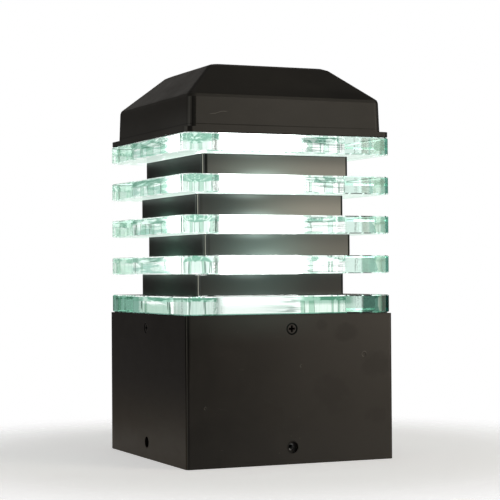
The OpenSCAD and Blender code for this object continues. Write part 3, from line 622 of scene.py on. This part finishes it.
def earth_wire_finish():
    """Green insulation with yellow bands."""
    finish = Finish("green_yellow_insulation")
    z = finish.axes(finish.where)[2]
    stripe = (z * 1.4).maths("SINE").rise(-0.1, 0.1)
    finish.feed("Base Color", finish.mix(stripe, (0.06, 0.3, 0.05), (0.62, 0.6, 0.05)))
    finish.feed("Roughness", 0.45)
    return finish


lamp = lamp_finish()
rubber = plain("black_rubber", (0.03, 0.03, 0.03), (0.018, 0.018, 0.018), 0.7)
zinc = plain("zinc_plated_steel", (0.62, 0.63, 0.64), (0.46, 0.47, 0.49), 0.34, metal=1.0, grain=3)
dull_zinc = plain("dull_zinc_rod", (0.4, 0.4, 0.4), (0.28, 0.28, 0.28), 0.42, metal=1.0, grain=3)
brass = plain("plain_brass", (0.75, 0.57, 0.27), (0.6, 0.43, 0.19), 0.32, metal=1.0, grain=3)
nickel = plain("nickel_screw_cap", (0.72, 0.7, 0.66), (0.56, 0.54, 0.5), 0.3, metal=1.0, grain=3)
ceramic = plain("unglazed_ceramic", (0.8, 0.78, 0.72), (0.68, 0.66, 0.6), 0.6, grain=5)
white_plastic = plain("white_plastic", (0.84, 0.84, 0.82), (0.76, 0.76, 0.73), 0.45)
black_glass = plain("black_cap_glass", (0.02, 0.02, 0.03), (0.012, 0.012, 0.02), 0.15)
board = plain("white_board", (0.86, 0.87, 0.84), (0.78, 0.8, 0.76), 0.4)
brown_wire = plain("brown_insulation", (0.2, 0.09, 0.04), (0.14, 0.06, 0.03), 0.45)
blue_wire = plain("blue_insulation", (0.05, 0.16, 0.45), (0.035, 0.11, 0.34), 0.45)
earth_wire = earth_wire_finish()

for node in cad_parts:
    if node.startswith("glass_plate"):
        dress(node, glass)
    elif node.startswith("spacer_frame"):
        dress(node, spacer_coats[int(node[-1]) - 1])
for finish, nodes in (
    (base_coat, ("base_skirt", "deck_pan")),
    (bracket_coat, ("mounting_bracket",)),
    (cap_coat, ("cap",)),
    (screw_coat, ("side_screws",)),
    (rubber, ("deck_gasket", "spacer_gaskets", "cap_gasket", "cable_grommet")),
    (dull_zinc, ("clamping_bolts",)),
    (zinc, ("bolt_washers", "bracket_nuts", "holder_bridge", "bridge_screws", "holder_screws")),
    (zinc, ("terminal_screws", "block_screws", "earth_lug", "earth_screw")),
    (brass, ("holder_shell", "holder_contact", "terminal_barrels")),
    (ceramic, ("holder_body",)),
    (white_plastic, ("terminal_block", "bulb_body")),
    (brown_wire, ("live_lead",)),
    (blue_wire, ("neutral_lead",)),
    (earth_wire, ("earth_lead",)),
    (lamp, ("bulb_globe",)),
    (nickel, ("bulb_screw_cap", "bulb_tip")),
    (black_glass, ("bulb_insulator",)),
    (board, ("led_board",)),
):
    for node in nodes:
        dress(node, finish)


# Studio
def white_surround():
    """White where the camera looks, also through glass, and a dim warm room for all other light."""
    world = bpy.data.worlds.new("studio")
    bpy.context.scene.world = world
    world.use_nodes = True
    sky = Graph(world.node_tree)
    warm_room = sky.tree.nodes["Background"]
    sky.join(warm_room.inputs["Color"], (1.0, 0.94, 0.87))
    sky.join(warm_room.inputs["Strength"], 0.13)
    white = sky.node("ShaderNodeBackground", {}, {"Color": WHITE, "Strength": 1.0})
    seen = sky.ray("Camera").most(sky.ray("Transmission"))
    surround = sky.blend(seen, Value(sky, warm_room.outputs[0]), white)
    sky.join(sky.tree.nodes["World Output"].inputs["Surface"], surround)


def pale_floor():
    """Round floor that fades out before its edge and can't be seen from below."""
    bpy.ops.object.select_all(action="DESELECT")
    bpy.ops.mesh.primitive_circle_add(vertices=96, radius=1.2, fill_type="NGON", location=(0, 0, 0))
    floor = bpy.context.object
    floor.name = "studio_floor"
    finish = Finish("pale_floor")
    x, y = finish.axes(finish.where)[:2]
    whole_radius, faded_radius = 150, 330
    seen = (finish.ray("Camera") + finish.ray("Transmission") + finish.ray("Glossy") * 0.28).least(1)
    finish.feed("Base Color", (0.82, 0.82, 0.82))
    finish.feed("Roughness", 0.8)
    finish.glow(finish.mix(seen, BLACK, WHITE), strength=0.5)
    finish.feed("Alpha", length(x, y).rise(faded_radius, whole_radius) * finish.outside())
    floor.data.materials.append(finish.material)


def soft_lamp(name, spot, aim_height, size, power, colour):
    """Area lamp turned to a height on the gate light's middle axis; lengths in metres."""
    bpy.ops.object.light_add(type="AREA", location=spot)
    light = bpy.context.object
    light.name = name
    light.data.shape = "RECTANGLE"
    light.data.size, light.data.size_y = size
    light.data.energy = power
    light.data.color = colour
    aim = Vector((0, 0, aim_height)) - Vector(spot)
    light.rotation_euler = aim.to_track_quat("-Z", "Y").to_euler()


def photo_camera():
    """The photograph's own viewpoint."""
    film_width, picture_width = 36, 500
    focal_pixels, yaw, pitch, roll = 1637.9, -23.584, 0.767, 0.381
    eye = Vector((-457.6, -1054.7, 126.9)) * MM
    turn, lift, lean = (math.radians(v) for v in (yaw, pitch, roll))
    ahead = Vector((-math.sin(turn) * math.cos(lift), math.cos(turn) * math.cos(lift), math.sin(lift)))
    level = Vector((math.cos(turn), math.sin(turn), 0))
    below = ahead.cross(level)
    right = level * math.cos(lean) + below * math.sin(lean)
    down = below * math.cos(lean) - level * math.sin(lean)
    stand = Matrix((right, -down, -ahead)).transposed().to_4x4()
    stand.translation = eye
    data = bpy.data.cameras.new("photo_camera")
    data.lens = film_width * focal_pixels / picture_width
    camera = bpy.data.objects.new("photo_camera", data)
    camera.matrix_world = stand
    bpy.context.collection.objects.link(camera)
    bpy.context.scene.camera = camera


white_surround()
pale_floor()
soft_lamp("soft_lamp_right", (1.2, -1.42, 0.55), 0.15, size=(0.8, 1.1), power=12, colour=(1.0, 0.9, 0.76))
soft_lamp("soft_lamp_front", (-0.5, -2.2, 0.9), 0.12, size=(1.2, 0.8), power=2.2, colour=(1.0, 0.97, 0.92))
soft_lamp("soft_lamp_back", (0.5, 1.8, 0.8), 0.15, size=(1.2, 0.8), power=0.9, colour=(1.0, 0.96, 0.9))
soft_lamp("soft_lamp_left", (-1.5, -0.65, 0.3), 0.15, size=(0.3, 0.9), power=2.2, colour=(1.0, 0.92, 0.82))
photo_camera()
bpy.context.scene.view_settings.view_transform = "Standard"
